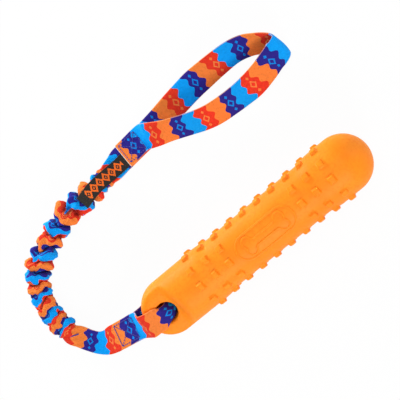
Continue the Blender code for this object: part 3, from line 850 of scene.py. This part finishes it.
def neck_stations():
    """Webbing between the gathers and the hand loop's box stitch: two last small puffs, then flat."""
    box = (UPPER_BOX_FAR - UPPER_BOX_CUT).normalized()
    last = UPPER_BOX_CUT
    straight = last - box * 4.8 * MM
    return [
        mouth(1, -1.5 * MM, 92, 17.5 * MM, 12 * MM),
        station(-93.8, 130.75, 11.3, 92, 0, 22.0 * MM, 12.6 * MM),
        station(-90.8, 131.2, 10.2, 93, 0, 17.6 * MM, 9.8 * MM),
        station(-87.8, 131.75, 8.7, 94, 0, 20.8 * MM, 9.4 * MM),
        station(-84.6, 132.45, 6.7, 95, 0, 19.2 * MM, 6.2 * MM),
        station(-80.2, 133.5, 4.3, 96, 0, 21.8 * MM, 4.2 * MM),
        station(-74.0, 135.2, 2.0, 97, 0, 23.5 * MM, 2.5 * MM),
        station(straight.x / MM, straight.y / MM, straight.z / MM, UPPER_BOX_ACROSS, 0),
        station(last.x / MM, last.y / MM, last.z / MM, UPPER_BOX_ACROSS, 0),
    ]


def handle_stations():
    """The hand loop: out along the floor, folded over at the far end, and back on the upper layer."""
    # x, y and z in mm, the two angles of a station in degrees, and its crown in mm
    places = (
        (-15, 140.2, 1.9, 93, 4, 0), (5, 142.2, 3.1, 94, 9, 0), (28, 144.0, 4.6, 94, 14, 0),
        (44.3, 143.3, 7.5, 90, 31, 0), (60.4, 142.4, 9.4, 86, 40, 0), (76.1, 141.1, 10.1, 83, 45, 0),
        (89.3, 137.2, 10.4, 79, 46, 0), (99.4, 131.1, 10.5, 80, 48, 0),
        (107.4, 124.9, 10.5, 87, 47, -1.6), (112.3, 119.5, 11.4, 94, 44, -3),
        (111.8, 114.8, 13.4, 98, 38, -3.4), (106.7, 112.0, 14.6, 100, 38, -2.2),
        (99.4, 110.4, 14.2, 98, 42, -0.8), (88.1, 108.1, 12.4, 98, 40, 0),
        (73.9, 106.3, 11.2, 96, 35, 0), (59.6, 106.4, 10.8, 92, 41, 0), (45.2, 107.4, 10.6, 86, 44, 0),
        (31, 109.3, 10.5, 76, 44, 0), (20, 112.3, 10.4, 70, 45, 0), (8, 117.1, 10.4, 67, 46, 0),
        (-3, 121.9, 10.4, 66, 46, 0), (-14, 126.9, 10.1, 68, 43, 0), (-24, 131.7, 8.9, 76, 30, 0),
        (-31, 135.6, 6.9, 86, 14, 0),
    )
    rows = box_layer(UPPER_BOX_CUT, UPPER_BOX_FAR, 0, UPPER_BOX_ACROSS)
    rows += [station(*place[:5], bow=place[5]) for place in places]
    return rows + box_layer(UPPER_BOX_FAR, UPPER_BOX_CUT, UPPER_BOX_RISE, UPPER_BOX_ACROSS)


# Gathers

def sleeve_frame(share):
    """Middle, level side, upward side and direction of the gathered tube at a share of its length."""
    step = 0.002
    middle = through(SLEEVE_ROUTE, share)
    behind = through(SLEEVE_ROUTE, max(share - step, 0))
    ahead = (through(SLEEVE_ROUTE, min(share + step, 1)) - behind).normalized()
    side = Vector((-ahead.y, ahead.x, 0)).normalized()
    up = ahead.cross(side)
    return middle, side, up, ahead


def puff_phase(share):
    """Turns of the gathers' wave: crowded at the lower end, wider apart towards the hand loop."""
    return 2 * math.pi * PUFFS * (share + PUFF_CROWD * math.sin(math.pi * share))


def fold_turn(share, cosine, sine):
    """The fold pattern's phase round the tube: crests sag one way or the other across the upper face."""
    phase = puff_phase(share)
    flat = 1 - abs(cosine) ** 1.5
    sag = 1.3 + 0.8 * math.sin(phase * 0.37 + 0.8) + 1.2 * noise.noise(Vector((phase * 0.12, 50.4, 0.3)))
    wander = 2.0 * noise.noise(Vector((phase * 0.2, cosine * 1.3, sine * 1.3 + 3.1)))
    slant = 1.15 + 0.35 * math.sin(phase * 0.21 + 2.0)
    return phase + sag * flat * (0.4 + 0.6 * sine) + wander + slant * cosine


def puff_point(share, angle):
    """A point of the gathered webbing's outside, and how deep it lies in a crease, from 0 to 1, for the
    print's painted crease shade.
    """
    middle, side, up, ahead = sleeve_frame(share)
    cosine = math.cos(angle)
    sine = math.sin(angle)
    phase = puff_phase(share)
    turn = fold_turn(share, cosine, sine)
    edge = abs(cosine) ** 1.2
    loose = ease((share - 0.2) / 0.22)
    crest = abs(math.sin(turn / 2)) ** between(0.9, 1.5, loose)
    fold_at = turn + 1.2 + 1.5 * noise.noise(Vector((phase * 0.3, cosine * 1.5 + 7.0, sine * 1.5)))
    fold = abs(math.sin(fold_at)) ** 0.7
    wrinkle_at = 2.6 * turn + 2.2 * noise.noise(Vector((phase * 0.4, cosine * 2.1, sine * 2.1 + 30.0)))
    wrinkle = abs(math.sin(wrinkle_at)) ** 0.8
    size = 1.0 + 0.7 * noise.noise(Vector((phase * 0.27, cosine * 1.4, sine * 1.4 + 20.0)))
    fine = noise.noise(Vector((phase * 1.3, 4.2 * cosine, 4.2 * sine + 9.0)))
    end = ease(min(share, 1 - share) * 34)
    waist = between(7.1, 5.2, loose)
    rise = between(3.2, 6.6, loose) * size * (0.52 + 0.48 * edge)
    radius = between(6.7, waist, end) + end * (rise * crest + 0.8 * fold + 0.5 * wrinkle + 0.5 * fine - 0.3)
    slide = -end * 1.4 * size * math.sin(turn)
    aside = 1.4 * end * loose * noise.noise(Vector((phase * 0.3, 0.5, 40.0)))
    place = middle + (side * cosine + up * sine) * radius * MM + (ahead * slide + side * aside) * MM
    place.z = max(place.z, 0.2 * MM - SHIFT.z)
    return place, end * (1 - crest) ** 2


def gathered_sleeve(start):
    """The webbing tube drawn up round the elastic, with its bore, and the place of its print at its end.

    The print follows the folds, and patches of it are pushed ahead or back, as in bunched cloth.
    """
    rings = PUFFS * 30
    sides = 84
    bore_rings = 60
    a_turn = PUFF_TAKES / (2 * math.pi)
    points = []
    web = []
    for i in range(rings + 1):
        share = i / rings
        middle_part = ease(min(share, 1 - share) * 12)
        phase = puff_phase(share)
        for k in range(sides):
            angle = 2 * math.pi * (k + 0.5) / sides
            cosine = math.cos(angle)
            sine = math.sin(angle)
            point, deep = puff_point(share, angle)
            points.append(point)
            turn = between(phase, fold_turn(share, cosine, sine), middle_part)
            patch = noise.noise(Vector((phase * 0.34, cosine * 1.7, sine * 1.7 + 60)))
            pushed = (1.5 + 12.0 * patch) * middle_part
            along = start + pushed + (turn - 0.55 * math.sin(turn)) * a_turn
            # The third value, below 0 deep in a crease, gives the print its painted crease shade.
            web.append((along, 6 * cosine, -deep))
    for i in range(bore_rings + 1):
        share = 1 - i / bore_rings
        middle, side, up, _ = sleeve_frame(share)
        for k in range(sides):
            angle = 2 * math.pi * (k + 0.5) / sides
            points.append(middle + (side * math.cos(angle) + up * math.sin(angle)) * BORE_RADIUS)
            web.append((start, 6 * math.cos(angle), 0.0))
    faces = ring_faces(rings + bore_rings + 2, sides, closed=True)
    made = add_mesh("bungee_gathers", points, faces, PRINTED, web, sharp=0)
    return made, start + PUFFS * PUFF_TAKES


def elastic_cord():
    rings = 90
    sides = 20
    points = []
    web = []
    length = webbing_length([{"middle": place} for place in SLEEVE_ROUTE])
    for i in range(rings + 1):
        share = i / rings
        middle, side, up, _ = sleeve_frame(share)
        for k in range(sides):
            angle = 2 * math.pi * k / sides
            points.append(middle + (side * math.cos(angle) + up * math.sin(angle)) * CORE_RADIUS)
            web.append((share * length, 4 * angle, 0.0))
    faces = ring_faces(rings + 1, sides) + end_caps(rings + 1, sides)
    return add_mesh("elastic_cord", points, faces, ELASTIC, web)


# Stitches

def stitch(start, end, normal, radius):
    """One short run of thread that dips into the webbing at both ends."""
    sides = 8
    ahead = (end - start).normalized()
    side = ahead.cross(normal).normalized()
    # Share of the stitch's length, and thickness and lift as shares of the radius
    rings = (
        (0.0, 0.35, -0.9), (0.08, 0.8, -0.35), (0.25, 1.0, 0.0), (0.5, 1.0, 0.1),
        (0.75, 1.0, 0.0), (0.92, 0.8, -0.35), (1.0, 0.35, -0.9),
    )
    points = []
    for share, thick, lift in rings:
        centre = start.lerp(end, share) + normal * radius * lift
        for k in range(sides):
            angle = 2 * math.pi * k / sides
            points.append(centre + (side * math.cos(angle) + normal * math.sin(angle)) * radius * thick)
    return points, ring_faces(len(rings), sides) + end_caps(len(rings), sides)


def stitched_line(points, faces, start, end, normal, pitch=2.6 * MM, radius=0.36 * MM):
    length = (end - start).length
    count = max(int(round(length / pitch)), 1)
    for i in range(count):
        a = start.lerp(end, (i + 0.08) / count)
        b = start.lerp(end, (i + 0.92) / count)
        join(points, faces, stitch(a, b, normal, radius))


def thread_piece(name, points, faces, body, node):
    made = add_mesh(name, points, faces, THREAD)
    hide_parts(node)
    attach(made, body)


def box_stitches(name, start, end, offset, across, body, node, below=None, barred=False):
    """A sewn box and its diagonals, stitch by stitch, on top and, if below is given, beneath.

    barred adds a close, thick row of stitches along the box's first edge.
    """
    ahead = (end - start).normalized()
    points = []
    faces = []
    inset = 2.6 * MM
    high = WEB_WIDTH / 2 - inset
    levels = [(offset, 1)] + ([(below, -1)] if below is not None else [])
    for level, sign in levels:
        layer = box_layer(start, end, level, across)
        side = layer[0]["side"]
        up = ahead.cross(side)
        if up.z < 0:
            up.negate()
        near = layer[0]["middle"] + ahead * inset
        far = layer[-1]["middle"] - ahead * inset
        corners = [near - side * high, far - side * high, far + side * high, near + side * high]
        for a, b in ((0, 1), (1, 2), (2, 3), (3, 0), (0, 2), (1, 3)):
            stitched_line(points, faces, corners[a], corners[b], up * sign)
        if barred:
            stitched_line(points, faces, corners[3], corners[0], up * sign, 1.3 * MM, 0.5 * MM)
    thread_piece(name, points, faces, body, node)


def tack_stitches(name, centre, across, body, node, length=11 * MM):
    """A short bar of thread sewn over and over across the round webbing, at the elastic cord's end."""
    side = pointing(across)
    ahead = Vector((-side.y, side.x, 0))
    points = []
    faces = []
    passes = 16
    drop = 0.5 * MM
    reach = ahead * 0.7 * MM
    slant = side * 0.2 * MM
    for i in range(passes):
        aside = (i + 0.5) / passes - 0.5
        at = centre + side * length * aside - Vector((0, 0, 4 * drop * aside ** 2))
        join(points, faces, stitch(at - reach, at + reach + slant, Vector((0, 0, 1)), 0.32 * MM))
    thread_piece(name, points, faces, body, node)


# Strap, from the tab to the hand loop


def strap():
    loop_rows = loop_stations()
    box_middle = (LOWER_BOX_FAR - LOWER_BOX_NEAR).length / MM / 2
    start = BAND_PERIOD * 0.7 - webbing_length(loop_rows) + box_middle
    tab_loop, at = strip("tab_loop", loop_rows, 220, start, cuts=("start",))
    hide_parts("dummy_loop")
    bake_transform(tab_loop)

    gathers_from = BAND_PERIOD * (0.125 + math.ceil((at + 40) / BAND_PERIOD))
    run, at = strip("strap_run", run_stations(), 110, at, flutes=0.5, stop=gathers_from)
    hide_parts("lower_run")
    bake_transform(run)

    sleeve, at = gathered_sleeve(at)
    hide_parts("bungee_sleeve")
    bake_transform(sleeve)

    cord = elastic_cord()
    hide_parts("elastic_core")
    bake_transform(cord)

    neck, _ = strip("neck_run", neck_stations(), 120, at, flutes=0.5, drawn=NECK_PRINT)
    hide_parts("neck_webbing")
    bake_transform(neck)

    handle_rows = handle_stations()
    length = webbing_length(handle_rows)
    box_half = (UPPER_BOX_FAR - UPPER_BOX_CUT).length / MM / 2
    handle_start = BAND_PERIOD * 0.66 - (length - box_half)
    handle, _ = strip("hand_loop_webbing", handle_rows, 420, handle_start, cuts=("end",))
    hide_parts("hand_loop")
    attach(handle, "handle")


def label():
    thin = 0.6 * MM
    root = LABEL_ROOT / MM
    places = (
        (root.x, root.y, root.z, UPPER_BOX_ACROSS), (-68.5, 133.4, 3.6, 95), (-75, 132.4, 6.6, 97),
        (-82, 131.0, 11.6, 98), (-89, 129.4, 17.4, 99), (-96, 127.7, 21.8, 100),
        (-103.5, 125.8, 24.0, 101), (-113.5, 123.4, 24.3, 102),
    )
    rows = [station(*place, 0, LABEL_WIDTH, thin) for place in places]
    made, _ = strip("label_tape", rows, 80, 0.0, LABEL, columns=16)
    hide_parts("woven_label")
    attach(made, "label")


strap()
label()
on_layer = WEB_THICKNESS / 2 + 0.1 * MM
lower_face = LAYER_PITCH / 2 + on_layer
box_stitches("lower_stitches", LOWER_BOX_FAR, LOWER_BOX_NEAR, lower_face, LOWER_BOX_ACROSS,
             "dummy_strap", "lower_box_stitch", below=-lower_face, barred=True)
box_stitches("handle_stitches", UPPER_BOX_CUT, UPPER_BOX_FAR, UPPER_BOX_RISE + on_layer, UPPER_BOX_ACROSS,
             "handle", "handle_box_stitch")
tack_stitches("lower_tack", Vector((-199.6, 36.6, 16.5)) * MM, 160, "bungee_base", "lower_core_tack")
tack_stitches("upper_tack", Vector((-93.0, 130.6, 17.9)) * MM, 93, "bungee_top", "upper_core_tack")


# Floor, light and world

def camera_or_gloss(tree):
    """1 where the camera or a glossy surface looks, and 0 for the light that falls on the object."""
    rays = tree.nodes.new("ShaderNodeLightPath")
    seen = tree.nodes.new("ShaderNodeMath")
    seen.operation = "MAXIMUM"
    tree.links.new(rays.outputs["Is Camera Ray"], seen.inputs[0])
    tree.links.new(rays.outputs["Is Glossy Ray"], seen.inputs[1])
    return seen.outputs[0]


def floor():
    """A white floor that glows where it is looked at, and keeps a little of its own shade for shadows."""
    mesh = bpy.data.meshes.new("floor")
    reach = 4.0
    corners = [(-reach, -reach, 0), (reach, -reach, 0), (reach, reach, 0), (-reach, reach, 0)]
    mesh.from_pydata(corners, [], [(0, 1, 2, 3)])
    made = bpy.data.objects.new("floor", mesh)
    bpy.context.scene.collection.objects.link(made)
    finish = bpy.data.materials.new("floor_white")
    finish.use_nodes = True
    tree = finish.node_tree
    shader = tree.nodes["Principled BSDF"]
    shader.inputs["Base Color"].default_value = (0.86, 0.86, 0.86, 1)
    shader.inputs["Roughness"].default_value = 0.9
    shader.inputs["Specular IOR Level"].default_value = 0.1
    glow = tree.nodes.new("ShaderNodeEmission")
    glow.inputs["Color"].default_value = (1, 1, 1, 1)
    glow.inputs["Strength"].default_value = 1.0
    part = tree.nodes.new("ShaderNodeMath")
    part.operation = "MULTIPLY"
    part.inputs[1].default_value = FLOOR_GLOW
    tree.links.new(camera_or_gloss(tree), part.inputs[0])
    mix = tree.nodes.new("ShaderNodeMixShader")
    tree.links.new(part.outputs[0], mix.inputs[0])
    tree.links.new(shader.outputs[0], mix.inputs[1])
    tree.links.new(glow.outputs[0], mix.inputs[2])
    tree.links.new(mix.outputs[0], tree.nodes["Material Output"].inputs["Surface"])
    mesh.materials.append(finish)


def sky():
    """White where it is looked at, and an even grey light on the object."""
    made = bpy.data.worlds.new("studio")
    bpy.context.scene.world = made
    made.use_nodes = True
    tree = made.node_tree
    light = tree.nodes["Background"]
    light.inputs["Color"].default_value = (1, 1, 1, 1)
    light.inputs["Strength"].default_value = SKY_LIGHT
    white = tree.nodes.new("ShaderNodeBackground")
    white.inputs["Color"].default_value = (1, 1, 1, 1)
    white.inputs["Strength"].default_value = 1.0
    mix = tree.nodes.new("ShaderNodeMixShader")
    tree.links.new(camera_or_gloss(tree), mix.inputs[0])
    tree.links.new(light.outputs[0], mix.inputs[1])
    tree.links.new(white.outputs[0], mix.inputs[2])
    tree.links.new(mix.outputs[0], tree.nodes["World Output"].inputs["Surface"])


def lamp(name, place, size, power, in_gloss=True):
    """A round lamp that faces the object, with its width in metres and its power in watts."""
    data = bpy.data.lights.new(name, "AREA")
    data.shape = "DISK"
    data.size = size
    data.energy = power
    made = bpy.data.objects.new(name, data)
    bpy.context.scene.collection.objects.link(made)
    made.visible_glossy = in_gloss
    made.location = place
    made.rotation_euler = (-Vector(place)).to_track_quat("-Z", "Y").to_euler()


floor()
sky()
lamp("key", (-0.2, -1.15, 0.75), 0.5, 9.0)
lamp("rim_soft", (-0.4, 1.15, 0.2), 0.4, 12.0, in_gloss=False)
lamp("rim_low", (-0.55, 1.1, 0.08), 0.4, 9.0)
lamp("side", (1.2, 0.1, 0.5), 0.7, 3.0)
lamp("top", (0.2, 0.1, 1.6), 0.8, 4.4)

bpy.context.scene.view_settings.view_transform = "Standard"
